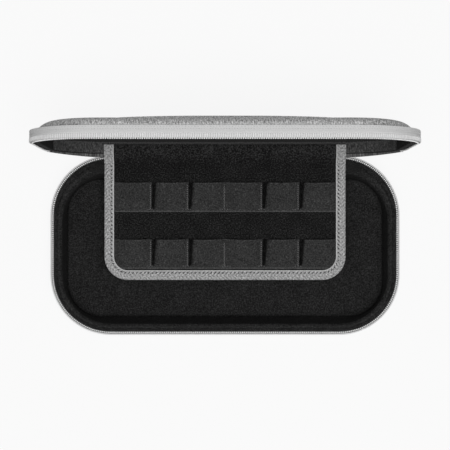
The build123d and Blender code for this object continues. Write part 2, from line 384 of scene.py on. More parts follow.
def ramp(tree, value, stops):
    made = addNode(tree, "ShaderNodeValToRGB", {"Fac": value})
    band = made.color_ramp
    while len(band.elements) < len(stops):
        band.elements.new(0.5)
    for element, (position, grey) in zip(band.elements, stops):
        element.position = position
        element.color = (grey, grey, grey, 1)
    return made.outputs["Color"]


def surface(tree, shader, colour, height, distance, strength):  # colour and relief of a material
    inputs = {"Height": height, "Distance": distance * mm, "Strength": strength}
    made = addNode(tree, "ShaderNodeBump", inputs)
    tree.links.new(made.outputs["Normal"], shader.inputs["Normal"])
    tree.links.new(colour, shader.inputs["Base Color"])


def threads(tree, vector, direction, pitch, uneven=0.6):  # parallel threads, pitch in millimetres
    made = addNode(
        tree, "ShaderNodeTexWave", {"Vector": vector, "Scale": 2 * pi / (20 * pitch), "Distortion": uneven},
        wave_type="BANDS", bands_direction=direction, wave_profile="SIN",
    )
    return made.outputs["Fac"]


def blend(tree, parts):  # weighted sum of values
    total = None
    for value, weight in parts:
        share = mathOf(tree, "MULTIPLY", value, weight)
        total = share if total is None else mathOf(tree, "ADD", total, share)
    return total


def stretched(tree, flat, across, along):  # squeezes the cloth's map so that noise runs along the threads
    inputs = {"Vector": flat, "Scale": (across, along, 1)}
    return addNode(tree, "ShaderNodeMapping", inputs).outputs["Vector"]


def heatherCloth(name, greys, weave=0.75):
    material, tree, shader = startMaterial(name, 0.92, Specular_IOR_Level=0.2, Sheen_Weight=0.03)
    flat = coordinates(tree, "UV")
    streak = noiseAt(tree, stretched(tree, flat, 0.95, 0.2), 3, 0.65)
    slub = noiseAt(tree, stretched(tree, flat, 1.25, 0.5), 2)
    weft = noiseAt(tree, stretched(tree, flat, 0.4, 1.3), 2)
    total = blend(tree, ((streak, 0.42), (slub, 0.44), (weft, 0.14)))
    colour = ramp(tree, total, list(zip((0.38, 0.46, 0.53, 0.62), greys)))
    woven = mathOf(tree, "MULTIPLY", threads(tree, flat, "X", weave), threads(tree, flat, "Y", weave))
    surface(tree, shader, colour, mathOf(tree, "ADD", woven, total), 0.16, 0.7)
    return material


def napCloth(name, stops, shade=None):  # brushed cloth with a short pile and pale specks
    material, tree, shader = startMaterial(name, 0.95, Specular_IOR_Level=0.05, Sheen_Weight=0.015)
    where = coordinates(tree, "Object")
    pile = noiseAt(tree, where, 2, 0.6, 2.2)
    speck = noiseAt(tree, where, 2, 0.6, 0.95)
    patch = noiseAt(tree, where, 2, 0.5, 0.07)
    tone = blend(tree, ((speck, 0.74), (pile, 0.16), (patch, 0.1)))
    if shade:  # painted on the piece: darker in its folds with painted shade, paler along its hems with painted highlight
        painted = addNode(tree, "ShaderNodeAttribute", attribute_name=shade).outputs["Fac"]
        tone = mathOf(tree, "ADD", tone, painted)
    surface(tree, shader, ramp(tree, tone, stops), mathOf(tree, "ADD", pile, speck), 0.3, 0.7)
    return material


def tapeCloth(name, stops, pitch=0.55):  # close woven tape, ribbed along its length
    material, tree, shader = startMaterial(name, 0.85, Specular_IOR_Level=0.1, Sheen_Weight=0.02)
    flat = coordinates(tree, "UV")
    across, along = threads(tree, flat, "X", pitch), threads(tree, flat, "Y", pitch * 1.3)
    woven = mathOf(tree, "MULTIPLY", across, along)
    fibre = noiseAt(tree, flat, 3, 0.6, 1.1)
    tone = blend(tree, ((woven, 0.45), (fibre, 0.55)))
    surface(tree, shader, ramp(tree, tone, stops), woven, 0.12, 0.7)
    return material


def twillTape(name, stops, middle, edge, edgeGrey):  # ribs that turn back at the middle, pale inner edge
    material, tree, shader = startMaterial(name, 0.9, Sheen_Weight=0.05)
    flat = coordinates(tree, "UV")
    parts = addNode(tree, "ShaderNodeSeparateXYZ", {"Vector": flat})
    fold = mathOf(tree, "PINGPONG", parts.outputs["Y"], middle)
    lean = mathOf(tree, "ADD", parts.outputs["X"], fold)
    slant = addNode(tree, "ShaderNodeCombineXYZ", {"X": lean}).outputs[0]
    ribs = threads(tree, slant, "X", 3.3, 2.5)
    yarn = noiseAt(tree, stretched(tree, flat, 0.55, 0.8), 2, 0.6)
    fibre = noiseAt(tree, flat, 2, 0.6, 0.82)
    tone = blend(tree, ((ribs, 0.08), (yarn, 0.36), (fibre, 0.56)))
    reach = {"Value": parts.outputs["Y"], "From Min": edge[0], "From Max": edge[1]}
    rolled = addNode(tree, "ShaderNodeMapRange", reach)
    body = ramp(tree, tone, stops)
    pale = ramp(tree, tone, [(0.35, edgeGrey * 0.8), (0.6, edgeGrey)])
    tones = {"Factor": rolled.outputs["Result"], "A": body, "B": pale}
    mixed = addNode(tree, "ShaderNodeMix", tones, data_type="RGBA")
    surface(tree, shader, mixed.outputs["Result"], blend(tree, ((ribs, 0.5), (fibre, 0.5))), 0.3, 0.8)
    return material


def nylon(name, dark, pale, roughness):
    material, tree, shader = startMaterial(name, roughness, Specular_IOR_Level=0.12)
    where = coordinates(tree, "Object")
    mottle = ramp(tree, noiseAt(tree, where, 2, 0.5, 0.8), [(0.3, dark), (0.7, pale)])
    surface(tree, shader, mottle, noiseAt(tree, where, 2, 0.5, 3), 0.04, 0.5)
    return material


def brushedMetal(name, stops):
    material, tree, shader = startMaterial(name, 0.35, Metallic=1.0)
    where = coordinates(tree, "Object", (250, 3000, 3000))
    grain = noiseAt(tree, where, 3, 0.6)
    rough = addNode(tree, "ShaderNodeMapRange", {"Value": grain, "To Min": 0.26, "To Max": 0.5})
    tree.links.new(rough.outputs["Result"], shader.inputs["Roughness"])
    surface(tree, shader, ramp(tree, grain, stops), grain, 0.02, 0.5)
    return material


greyHeather = heatherCloth("greyHeather", (0.145, 0.32, 0.53, 0.8))
darkHeather = heatherCloth("darkHeather", (0.014, 0.032, 0.06, 0.12))
hemHeather = heatherCloth("hemHeather", (0.025, 0.055, 0.1, 0.18))
paleTape = tapeCloth("paleTape", [(0.25, 0.5), (0.5, 0.62), (0.75, 0.72)])
ribShadeTape = tapeCloth("ribShadeTape", [(0.25, 0.42), (0.75, 0.54)])
teethShadeTape = tapeCloth("teethShadeTape", [(0.25, 0.02), (0.75, 0.05)])
ribCord = nylon("ribCord", 0.58, 0.69, 0.7)
paleNylon = nylon("paleNylon", 0.68, 0.82, 0.5)
blackFleece = napCloth("blackFleece", [(0.38, 0.0015), (0.47, 0.007), (0.55, 0.0155), (0.66, 0.042)], "shade")
trayStops = [(0.2, 0.001), (0.36, 0.004), (0.48, 0.0125), (0.58, 0.022), (0.7, 0.045)]
trayFleece = napCloth("trayFleece", trayStops, "shade")
liningCloth = napCloth("liningCloth", [(0.35, 0.006), (0.5, 0.0125), (0.65, 0.022)])
feltStops = [(0.2, 0.001), (0.37, 0.012), (0.5, 0.03), (0.6, 0.046), (0.7, 0.085)]
pocketFelt = napCloth("pocketFelt", feltStops, "shade")
twillStops = [(0.36, 0.1), (0.46, 0.22), (0.54, 0.33), (0.66, 0.55)]
greyTwill = twillTape("greyTwill", twillStops, 4.1, (7.3, 7.7), 0.5)
paleThread = nylon("paleThread", 0.42, 0.52, 0.75)
greyThread = nylon("greyThread", 0.11, 0.2, 0.8)
darkThread = nylon("darkThread", 0.02, 0.05, 0.8)
darkMetal = brushedMetal("darkMetal", [(0.3, 0.16), (0.7, 0.34)])
print("materials made")


def dress(piece, material, body, replaced=()):  # replaced: the drawn nodes that it stands for
    piece.data.materials.clear()
    piece.data.materials.append(material)
    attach(piece, body)
    if replaced:
        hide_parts(*replaced)
    return piece


# Outer walls
wall = {"inset": 1.0, "thickness": 2.5, "rimStep": 2.2, "seam": 0.3, "seamInset": 0.03}
trayForm = {"band": 13.0, "depth": 26.0, "draft": 12, "round": 11.0, "roundInset": 12.671}
lidForm = {
    "band": 10.2, "depth": 16.8, "draft": 50, "round": 16.0, "roundInset": 14.094,
    "wall": 1.2, "panelTurn": 73.0,
}
lidDome = {"length": 287, "width": 152, "corner": 50}  # its foot stands back from the tape at the ends
lidPanel = {
    "length": 190, "width": 128, "corner": 24,
    "endEase": 52.0, "sideEase": 5.5, "rise": 1.8, "swell": 0.45,
}
lidGroove = {"width": 2.2, "depth": 0.6}
lidGroove["profile"] = ((2.2, 0), (1.9, 0.12), (1.6, 0.5), (1.25, 0.9), (0.9, 1), (0.3, 1))  # outset, share


def wallRows(form, last, steps, dome=rim):
    inset, seam = wall["inset"], wall["seam"]
    rows = [rimRow(inset, wall["rimStep"]), rimRow(inset, form["band"] - seam)]
    rows += [insetRow(dome, inset + wall["seamInset"], form["band"] + seam)]
    middle = form["depth"] - form["round"]
    arcs = arcRows(form["roundInset"], middle, form["round"], form["draft"], last, steps)
    return rows + [insetRow(dome, *r) for r in arcs]


def lidDepth(spots):  # depth of the lid's rounded edge and flat back under each point
    _, inset = alongOutline(spots, lidDome)
    reach = np.clip(lidForm["roundInset"] - inset, 0, lidForm["round"])
    return lidForm["depth"] - lidForm["round"] + np.sqrt(lidForm["round"] ** 2 - reach**2)


def panelSpots(end, side):
    length, width = lidPanel["length"] - 2 * end, lidPanel["width"] - 2 * side
    return outlinePoints(length, width, lidPanel["corner"] - side, 0)


trayWall = loft("trayWall", wallRows(trayForm, 90, 9))
thicken(trayWall, wall["thickness"])
boxUv(trayWall)
smooth(place(trayWall, trayPlace))
dress(trayWall, greyHeather, "tray", ["tray_shell"])

lidRows = wallRows(lidForm, lidForm["panelTurn"], 6, lidDome)
grooveFloor = lidForm["depth"] - lidGroove["depth"]
rounded, border = outlinePoints(*lidRows[-1]), panelSpots(-lidGroove["width"], -lidGroove["width"])
for share in (0.08, 0.18, 0.3, 0.45, 0.6, 0.75, 0.9):  # from the rounded edge to the panel's groove
    spots = rounded + (border - rounded) * share
    spots[:, 2] = lidDepth(spots)
    lidRows.append(spots)
for outset, share in lidGroove["profile"]:
    spots = panelSpots(-outset, -outset)
    ground = lidDepth(spots)
    spots[:, 2] = ground + (np.minimum(ground, grooveFloor) - ground) * share
    lidRows.append(spots)
for climb in (0, 0.012, 0.04, 0.09, 0.16, 0.26, 0.4, 0.55, 0.75, 1):  # slow at the ends, quick at the sides
    spots = panelSpots(climb * lidPanel["endEase"], climb * lidPanel["sideEase"])
    spots[:, 2] = grooveFloor + (lidGroove["depth"] + lidPanel["rise"]) * climb ** lidPanel["swell"]
    lidRows.append(spots)
lidWall = loft("lidWall", lidRows)
thicken(lidWall, lidForm["wall"])
boxUv(lidWall)
smooth(place(lidWall, lidPlace))
dress(lidWall, greyHeather, "lid", ["lid_shell"])
print("outer walls made")

# Zip: woven tape with two rows of stitches, ribs over the chain, and the teeth along the rim
tape = {"thickness": 0.95, "from": 1.0, "to": 10.1, "gapHalf": 68.1, "edge": 0.2}
welt = {"foot": (4.45, 5.55), "top": (4.6, 5.4), "high": 0.12}  # between the ribs and the stitches
ribs = {
    "pitch": 1.65, "size": (1.16, 0.7, 3.0), "edge": 0.24, "middle": 2.78,
    "bed": (1.3, 4.3), "bedProud": 0.08, "bedThick": 0.15, "bedEdge": 0.03,
}
teeth = {"pitch": 1.65, "size": (1.16, 1.2, 1.75), "edge": 0.3, "inset": 1.95, "slant": 12, "middle": 1.05}
teethBed = {"insets": (0.9, 2.9), "depth": 1.5, "thickness": 0.5, "gapHalf": 101.0, "edge": 0.1}
hem = {
    "from": 70.0, "end": 40.0, "teethEnd": 40.5, "cloth": 0.25,  # over the lid's last teeth
    "lip": 1.7, "lipEnds": (112, 142), "foot": 2.1, "lipHigh": 1.9,
}
hem["rows"] = [(3.05, 2.1), (3.05, 0.7), (2.7, 0.3), (2.0, 0.16)]  # inset, depth
hem["rows"] += [(1.0, 0.16), (0.4, 0.3), (0.12, 0.7), (0.12, 2.1)]
tapeStitch = {
    "heights": (7.35, 9.05), "pitches": (1.97, 2.24),
    "size": (1.0, 0.36, 0.62), "slant": 28, "edge": 0.12,
}


def openRear(piece, half):  # takes the middle of the hinge side out of a band
    for side in (-1, 1):
        cutAcross(piece, (side * half, 0, 0), (1, 0, 0))
    mid = np.array([f.center for f in piece.data.polygons]) / mm
    removeParts(piece, "FACE", (abs(mid[:, 0]) < half) & (mid[:, 1] > 0))


def band(name, rows, half, thickness, edge):
    piece = loft(name, [rimRow(*r) for r in rows], capEnd=False)
    openRear(piece, half)
    thicken(piece, thickness)
    roundEdges(piece, edge)
    outlineUv(piece)
    smooth(piece)
    return piece


tapeRows = [(0, tape["from"]), (0, welt["foot"][0])] + [(-welt["high"], h) for h in welt["top"]]
tapeRows += [(0, welt["foot"][1]), (0, tape["to"])]
zipTape = band("trayTape", tapeRows, tape["gapHalf"], tape["thickness"], tape["edge"])
# the rib bed is a darker sheet under the ribs: painted shade in the gaps between them
bedRows = [(-ribs["bedProud"], h) for h in ribs["bed"]]
ribBed = band("trayRibBed", bedRows, tape["gapHalf"], ribs["bedThick"], ribs["bedEdge"])
# the teeth bed is a near-black sheet behind the teeth: painted shade in the gaps between them
bedRows = [(i, teethBed["depth"]) for i in teethBed["insets"]]
zipBed = band("trayTeethBed", bedRows, teethBed["gapHalf"], teethBed["thickness"], teethBed["edge"])

zipRibs = runAlong("trayRibs", ribs, rimRow(0, 0), ribs["middle"])
outlineUv(zipRibs)
stitchRows = []
for height, pitch in zip(tapeStitch["heights"], tapeStitch["pitches"]):
    kind = tapeStitch | {"pitch": pitch}
    stitchRows.append(runAlong("stitch", kind, rimRow(0, 0), height, (0, kind["slant"], 0)))
zipStitches = joinPieces("trayTapeStitches", stitchRows)
zipTeeth = runAlong("trayTeeth", teeth, rimRow(teeth["inset"], 0), teeth["middle"], (0, 0, teeth["slant"]))

zipParts = [
    (zipTape, "Tape", paleTape, "zip_tape", "zip_tape"),
    (ribBed, "RibBed", ribShadeTape, "zip_tape", None),
    (zipRibs, "Ribs", ribCord, "zip_tape", None),
    (zipStitches, "TapeStitches", paleThread, "zip_tape", None),
    (zipBed, "TeethBed", teethShadeTape, "zip_teeth", None),
    (zipTeeth, "Teeth", paleNylon, "zip_teeth", "zip_teeth"),
]
for part, label, material, slot, node in zipParts:
    lidPart = copyPiece(part, "lid" + label)
    if slot == "zip_teeth":
        removeParts(lidPart, "VERT", points(lidPart)[:, 1] > hem["teethEnd"])
    for body, piece, where in (("tray", part, trayPlace), ("lid", lidPart, lidPlace)):
        place(piece, where)
        dress(piece, material, body, [f"{body}_{node}"] if node else ())

lidHem = loft("lidHem", [rimRow(*r) for r in hem["rows"]], capEnd=False)
openRear(lidHem, hem["from"])
cutAcross(lidHem, (0, hem["end"], 0), (0, -1, 0), clear_outer=True)
co = points(lidHem)
lipFrom, lipTo = hem["lipEnds"]
lipShare = 1 - np.clip((abs(co[:, 0]) - lipFrom) / (lipTo - lipFrom), 0, 1)
lipRise = np.clip((hem["foot"] - co[:, 2]) / hem["lipHigh"], 0, 1)
co[:, 2] -= hem["lip"] * lipShare * lipRise  # a soft lip that stands out of the rim
movePoints(lidHem, co)
thicken(lidHem, hem["cloth"], 0)
outlineUv(lidHem, across="inset")
smooth(place(lidHem, lidPlace), 50)
dress(lidHem, hemHeather, "lid")
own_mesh(lidHem)
print("zip made")

# Linings
liner = {
    "flangeInset": 3.0, "ledge": 1.0, "cavityInset": 5.2, "cavityDepth": 11.0, "cove": 2.5, "skin": 1.05,
    "lip": ((0, 1.0), (0, 0.25), (0.08, 0.08), (0.25, 0)),  # inset from the flange, depth from the ledge
    "cavityLip": ((-0.5, 0), (-0.15, 0.12), (0, 0.5)), "cushion": ((14, 0.15), (26, 0.4), (40, 0.6)),
}
recess = {"length": 276, "width": 128, "corner": 41, "shift": -2.7, "edge": 1.6, "wallPaintedShade": -0.13}
recessFloor = {"length": 273, "width": 119, "corner": 29, "depth": 20.0, "cove": 3.5}
flange, ledge = liner["flangeInset"], liner["ledge"]
lip = [rimRow(flange + i, ledge + d) for i, d in liner["lip"]]


def recessRow(share, grow, depth):  # share 0 at the ledge, 1 at the floor
    size = [recess[k] + (recessFloor[k] - recess[k]) * share + 2 * grow for k in ("length", "width")]
    corner = recess["corner"] + (recessFloor["corner"] - recess["corner"]) * share + grow
    return (*size, corner, depth, recess["shift"])


# Roll of the fleece along the ledge, as (share of the ledge, drop, shade); the shade is painted: painted
# shade in the crease, painted highlight on the crests
ledgeRoll = ((0.3, 0.0, 0.02), (0.45, 0.22, -0.06), (0.58, 0.0, 0.02), (0.74, -0.12, 0.06))
recessEdge, floorDepth, cove = recess["edge"], recessFloor["depth"], recessFloor["cove"]
insertRows = list(lip)
flangeRow, edgeRow = lip[-1] + (0,), recessRow(0, recessEdge, ledge)
for share, drop, _ in ledgeRoll:
    row = [a + (b - a) * share for a, b in zip(flangeRow, edgeRow)]
    row[3] += drop
    insertRows.append(tuple(row))
for turn in (0, 22.5, 45, 67.5, 90):
    grow, drop = 1 - sin(radians(turn)), 1 - cos(radians(turn))
    insertRows.append(recessRow(0, recessEdge * grow, ledge + recessEdge * drop))
for turn in (0, 30, 60, 90):
    depth = floorDepth - cove * (1 - sin(radians(turn)))
    share = (depth - ledge) / (floorDepth - ledge)
    insertRows.append(recessRow(share, -cove * (1 - cos(radians(turn))), depth))
trayInsert = loft("trayInsert", insertRows, capFacing=-1)
co = points(trayInsert)
depths, shifted = co[:, 2], co - np.array([0, recess["shift"], 0])
_, ledgeInset = alongOutline(co, rim)
_, recessInset = alongOutline(shifted, recess)
ledgeWide = np.maximum(ledgeInset - flange - recessInset - recessEdge, 0.1)
across = (ledgeInset - flange) / ledgeWide  # 0 at the rim, 1 at the recess
paint = np.interp(across, [0] + [r[0] for r in ledgeRoll] + [1], [0] + [r[2] for r in ledgeRoll] + [0])
# painted shade on the recess wall, darker than the ledge and the floor
onWall = (depths > ledge + 1) & (depths < floorDepth - 0.5)
paintShade(trayInsert, np.where(depths < ledge + 0.5, paint, recess["wallPaintedShade"] * onWall))
thicken(trayInsert, liner["skin"])
smooth(place(trayInsert, trayPlace))
dress(trayInsert, trayFleece, "tray", ["tray_insert"])

inset, deep, lidCove = liner["cavityInset"], liner["cavityDepth"], liner["cove"]
lidCavity = {"length": 290, "width": 152, "corner": 50}
wallRow = [(inset + i, ledge + d) for i, d in liner["cavityLip"]]
wallRow += arcRows(inset + lidCove, deep - lidCove, lidCove, 0, 90, 5)
wallRow += [(i, deep - rise) for i, rise in liner["cushion"]]
liningRows = lip + [insetRow(lidCavity, *r) for r in wallRow]
lidLining = loft("lidLining", liningRows, capFacing=-1)
thicken(lidLining, liner["skin"])
boxUv(lidLining)
smooth(place(lidLining, lidPlace))
dress(lidLining, liningCloth, "lid", ["lid_lining"])

# Heather strip along the hinge side of the lid's lining, sewn down at both ends
wallCloth = {"half": 138.6, "thickness": 0.4, "lift": 0.03, "from": 0.6, "turn": 75}
liningStitch = {"count": 4, "pitch": 1.9, "size": (0.4, 0.4, 1.2), "edge": 0.12, "rise": 1.4, "in": 0.8}
clothLift = wallCloth["thickness"] + wallCloth["lift"]
clothInset, clothCove = inset + clothLift, lidCove - clothLift
clothRows = [(clothInset, ledge + wallCloth["from"])]
clothRows += arcRows(clothInset + clothCove, deep - lidCove, clothCove, 0, wallCloth["turn"], 5)
lidWallCloth = loft("lidWallCloth", [insetRow(lidCavity, *r) for r in clothRows], capEnd=False)
trimEnds(lidWallCloth, wallCloth["half"])
removeParts(lidWallCloth, "VERT", points(lidWallCloth)[:, 1] < 0)
thicken(lidWallCloth, wallCloth["thickness"], 1)
outlineUv(lidWallCloth)
smooth(place(lidWallCloth, lidPlace))
dress(lidWallCloth, darkHeather, "lid")

seamX = wallCloth["half"] - liningStitch["in"]
turnX, turnY = [lidCavity[k] / 2 - lidCavity["corner"] for k in ("length", "width")]
seamY = turnY + ((lidCavity["corner"] - clothInset) ** 2 - (seamX - turnX) ** 2) ** 0.5
seamUnits = []
for side in (-1, 1):
    for i in range(liningStitch["count"]):
        spot = (side * seamX, seamY, ledge + liningStitch["rise"] + i * liningStitch["pitch"])
        seamUnits.append(bar("stitch", liningStitch["size"], liningStitch["edge"], spot))
liningStitches = place(joinPieces("liningStitches", seamUnits), lidPlace)
dress(liningStitches, greyThread, "lid")
print("linings made")


# Cloth at the hinge
def clothGrid(name, columns, rows):  # a flat grid, with each point's share of its width and height
    clearSelection()
    bpy.ops.mesh.primitive_grid_add(x_subdivisions=columns, y_subdivisions=rows, size=1)
    piece = named(bpy.context.object, name)
    return piece, *(points(piece) * mm + 0.5).T[:2]


def clothStrip(name, half, route, columns, steps, centreX=0.0):  # follows a route in the YZ plane
    spots = easedRoute(route)
    runs = np.concatenate([[0], np.cumsum(np.linalg.norm(np.diff(spots, axis=0), axis=1))])
    piece, shareX, shareY = clothGrid(name, columns, steps)
    run = shareY * runs[-1]
    x = centreX + (shareX * 2 - 1) * half
    y, z = [np.interp(run, runs, spots[:, k]) for k in (0, 1)]
    movePoints(piece, np.stack([x, y, z], 1))
    pointUv(piece, x, run)
    return piece, runs[-1]


def easedRoute(corners):  # a smooth line through a few points, as (y, z)
    spots = np.array(corners, float)
    for _ in range(3):  # corner cutting
        near, far = 0.75 * spots[:-1] + 0.25 * spots[1:], 0.25 * spots[:-1] + 0.75 * spots[1:]
        cut = np.stack([near, far], 1).reshape(-1, 2)
        spots = np.vstack([spots[:1], cut, spots[-1:]])
    return spots


spine = {"half": 68.0, "thickness": 0.85}
spine["route"] = [(75.57, 15.6), (75.57, 25.0), (75.7, 26.1), (77.2, 26.35), (86.4, 26.25)]
hingeSpine, spineRun = clothStrip("hingeSpine", spine["half"], spine["route"], 68, 40)
thicken(hingeSpine, spine["thickness"], 0)
outwards(hingeSpine)
smooth(hingeSpine, 50)
hingeSpine.data.materials.append(greyHeather)
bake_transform(hingeSpine)
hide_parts("hinge_spine")

ledgeCloth = {"half": 115.0, "front": 62.0, "inset": 3.1, "thickness": 0.5, "top": 25.55, "edge": 0.2}
spineLining = startMesh("spineLining")
addOutline(*rimRow(ledgeCloth["inset"], 0))
cutAcross(spineLining, (0, ledgeCloth["front"], 0), (0, -1, 0), clear_outer=True)
trimEnds(spineLining, ledgeCloth["half"])
movePoints(spineLining, points(spineLining) + np.array([0, 0, ledgeCloth["top"]]))
thicken(spineLining, ledgeCloth["thickness"])
roundEdges(spineLining, ledgeCloth["edge"])
smooth(spineLining)
dress(spineLining, liningCloth, "tray", ["spine_lining"])
print("hinge cloth made")

# Flap: padded panel with a bound edge
flap = {"half": 102.0, "front": -29.5, "rear": 68.6, "corner": 20.0, "middle": 28.2, "halfThick": 1.8}
flapPadding = {"edge": 0.3, "rows": [(14, 26.95), (8.5, 27.0), (1.3, 27.05), (0.75, 27.5)]}
flapPadding["rows"] += [(0.75, 28.9), (1.3, 29.35), (8.5, 29.4), (14, 29.5)]
binding = {"width": 8.3, "thickness": 0.55, "hem": ((0.6, 0), (0.15, 0.1), (0, 0.4))}
spare = 60.0  # the outline runs on behind the flap and is cut off at its rear edge
flapWidth, flapShift = flap["rear"] + spare - flap["front"], (flap["rear"] + spare + flap["front"]) / 2
flapShape = {"length": 2 * flap["half"], "width": flapWidth, "corner": flap["corner"]}


def flapRow(inset, height):
    return (*insetRow(flapShape, inset, height), flapShift)


flapPad = loft("flapPad", [flapRow(*r) for r in flapPadding["rows"]], capStart=True)
cutAcross(flapPad, (0, flap["rear"], 0), (0, 1, 0), clear_outer=True, use_fill=True)
roundEdges(flapPad, flapPadding["edge"], 2, 60)
smooth(flapPad)
dress(flapPad, blackFleece, "flap", ["flap_panel"])

bindWidth, thick, level = binding["width"], flap["halfThick"], flap["middle"]
turns = [radians(t) for t in range(-90, 91, 15)]
innerRows = [(bindWidth - i, thick - d) for i, d in binding["hem"]]
bindRows = [(i, level - h) for i, h in reversed(innerRows)]
bindRows += [(thick - thick * cos(t), level + thick * sin(t)) for t in turns]
bindRows += [(i, level + h) for i, h in innerRows]
flapBinding = loft("flapBinding", [flapRow(*r) for r in bindRows], capEnd=False)
cutAcross(flapBinding, (0, flap["rear"], 0), (0, 1, 0), clear_outer=True)
thicken(flapBinding, binding["thickness"])
outlineUv(flapBinding, flapShape, flapShift, across="inset")
smooth(flapBinding)
dress(flapBinding, greyTwill, "flap", ["flap_binding"])

bindStitch = {"inset": 6.0, "pitch": 3.3, "size": (1.6, 0.85, 0.5), "edge": 0.18, "slant": 32, "short": 0.5}
bindRow, bindTurn = flapRow(bindStitch["inset"], level + thick), (0, 0, bindStitch["slant"])
bindCut = flap["rear"] - bindStitch["short"]
bindingStitches = runAlong("bindingStitches", bindStitch, bindRow, 0, bindTurn, bindCut)
dress(bindingStitches, darkThread, "flap")
print("flap made")

# Pockets: one strip of cloth for each row, sewn down between the pockets
pocket = {"columns": 6, "half": 93.4, "height": 25.0, "mouths": (53.0, 5.0), "base": 29.45, "cloth": 0.8}
bulge = {
    "mouth": 3.4, "bottom": 1.3, "creases": 0.16, "uneven": 0.09, "crown": 0.12, "sag": 0.5,
    "fine": 24, "rows": 22,  # grid lines across and up each pocket
}
pleat = {"seams": (1, 2, 4, 5), "mouth": 4.2, "bottom": 2.4, "dark": -0.27}  # a fold right of these seams; dark is painted shade in the fold
# The fold's profile, as shares of its width and of the pocket's height
pleat["profile"] = ((0, 0), (0.3, 0), (0.62, 0.04), (0.86, 0.28), (0.97, 0.72), (1.02, 0.92), (1.2, 1))
# pale and mouthHighlight are painted highlights along the pocket's lower hem and its mouth
pocketHem = {"wide": 1.1, "high": 0.35, "pale": 0.13, "mouthHighlight": 0.05}


def ease(low, high, value):
    t = np.clip((value - low) / (high - low), 0, 1)
    return t * t * (3 - 2 * t)


def pocketStrip(name, node, mouth, seed):
    fine, rows, columns = bulge["fine"], bulge["rows"], pocket["columns"]
    piece, shareX, shareY = clothGrid(name, columns * fine, rows)
    column = np.clip((shareX * columns + 1e-6).astype(int), 0, columns - 1)
    u = np.clip(shareX * columns - column, 0, 1)
    hemShare = pocketHem["wide"] / pocket["height"]
    body = np.linspace(hemShare * 1.4, 0.95, rows - 5)
    steps = np.concatenate([[0, hemShare / 2, hemShare], body, [0.975, 0.99, 1]])
    v = np.interp(shareY * rows, range(rows + 1), steps)
    pleated = np.isin(column, pleat["seams"])
    pitch = 2 * pocket["half"] / columns

    # across a pocket: the fold's floor, its steep side, then the front of the pocket
    foldWide = pleat["bottom"] + (pleat["mouth"] - pleat["bottom"]) * v
    places, heights = np.array(pleat["profile"]).T
    marks = np.arange(len(places)) / fine
    inFold = np.interp(u, marks, places) * foldWide
    lastMark, foldEnd = marks[-1], places[-1] * foldWide
    beyond = foldEnd + (u - lastMark) / (1 - lastMark) * (pitch - foldEnd)
    local = np.where(pleated, np.where(u < lastMark, inFold, beyond), u * pitch)
    left = np.where(pleated, np.interp(u, marks, heights), ease(0.0, 0.3, u))
    right = ease(0.0, 0.2, 1 - u)
    crown = 1 - bulge["crown"] * (2 * u - 1) ** 2
    fullness = 1 + bulge["uneven"] * np.sin(2.4 * column + seed)
    lift = (bulge["bottom"] + (bulge["mouth"] - bulge["bottom"]) * v) * ease(0.04, 0.2, v) * fullness
    x = -pocket["half"] + column * pitch + local
    y = mouth - pocket["height"] * (1 - v)
    y = y - bulge["sag"] * np.sin(pi * u) * ease(0.6, 1.0, v)  # the mouth sags a little between seams
    crease = np.array([noise.noise(Vector((a * 0.16, b * 0.28, seed * 7.3))) for a, b in zip(x, y)])
    roll = pocketHem["high"] * (ease(0, hemShare / 2, v) * (1 - ease(hemShare / 2, hemShare * 1.4, v)))
    swell = (lift * crown + bulge["creases"] * crease) * left * right
    z = pocket["base"] + pocket["cloth"] + swell + roll

    # the strip's lower corners keep inside the rounded corners of the binding
    innerHalf, innerFront = flap["half"] - binding["width"], flap["front"] + binding["width"]
    innerCorner = flap["corner"] - binding["width"]
    drop = np.clip(innerFront + innerCorner - y, 0, innerCorner)
    limit = innerHalf - 0.3 - innerCorner + np.sqrt(innerCorner**2 - drop**2)
    free = innerHalf - innerCorner - 4
    outer = abs(x) > free
    squeezed = free + (abs(x) - free) * (np.minimum(limit, pocket["half"]) - free) / (pocket["half"] - free)
    x = np.where(outer, np.sign(x) * squeezed, x)
    movePoints(piece, np.stack([x, y, z], 1))

    # painted shade in the fold right of each pleated seam, darkest on the fold's floor
    foldShadeShare = np.where(pleated, 1 - ease(2.8 / fine, 7.5 / fine, u), 0)
    foldShadeShare = foldShadeShare * ease(0, 0.8 / fine, u) * ease(0.05, 0.16, v)
    paint = pleat["dark"] * foldShadeShare
    # painted highlight along the lower hem's roll and along the mouth
    paint += pocketHem["pale"] * (1 - ease(hemShare * 0.8, hemShare * 1.3, v))
    paint += pocketHem["mouthHighlight"] * ease(0.965, 0.985, v) * (1 - foldShadeShare)
    paintShade(piece, paint)
    pointUv(piece, x, y)
    thicken(piece, pocket["cloth"])
    smooth(piece, 60)
    dress(piece, pocketFelt, "flap", [node])


seamStitch = {"pitch": 1.75, "size": (0.5, 1.2, 0.5), "slant": 38}
middleStitch = {"pitch": 2.4, "size": (0.36, 1.3, 0.36), "slant": 32}
hemStitch = {"pitch": 2.2, "size": (1.2, 0.36, 0.36), "rise": 2.3, "in": 12.0}
pocketThread = {"edge": 0.11, "left": 0.65, "above": 0.9, "spare": 1.5, "proud": 0.1}


def stitchLine(name, size, leans, start, step, count):  # a row of stitches; two leans make a zigzag
    units = []
    for number, lean in enumerate(leans):
        unit = bar(name, size, pocketThread["edge"])
        setDown(unit, [a + b * number / len(leans) for a, b in zip(start, step)], (0, 0, lean))
        repeat(unit, step, count)
        units.append(unit)
    return units


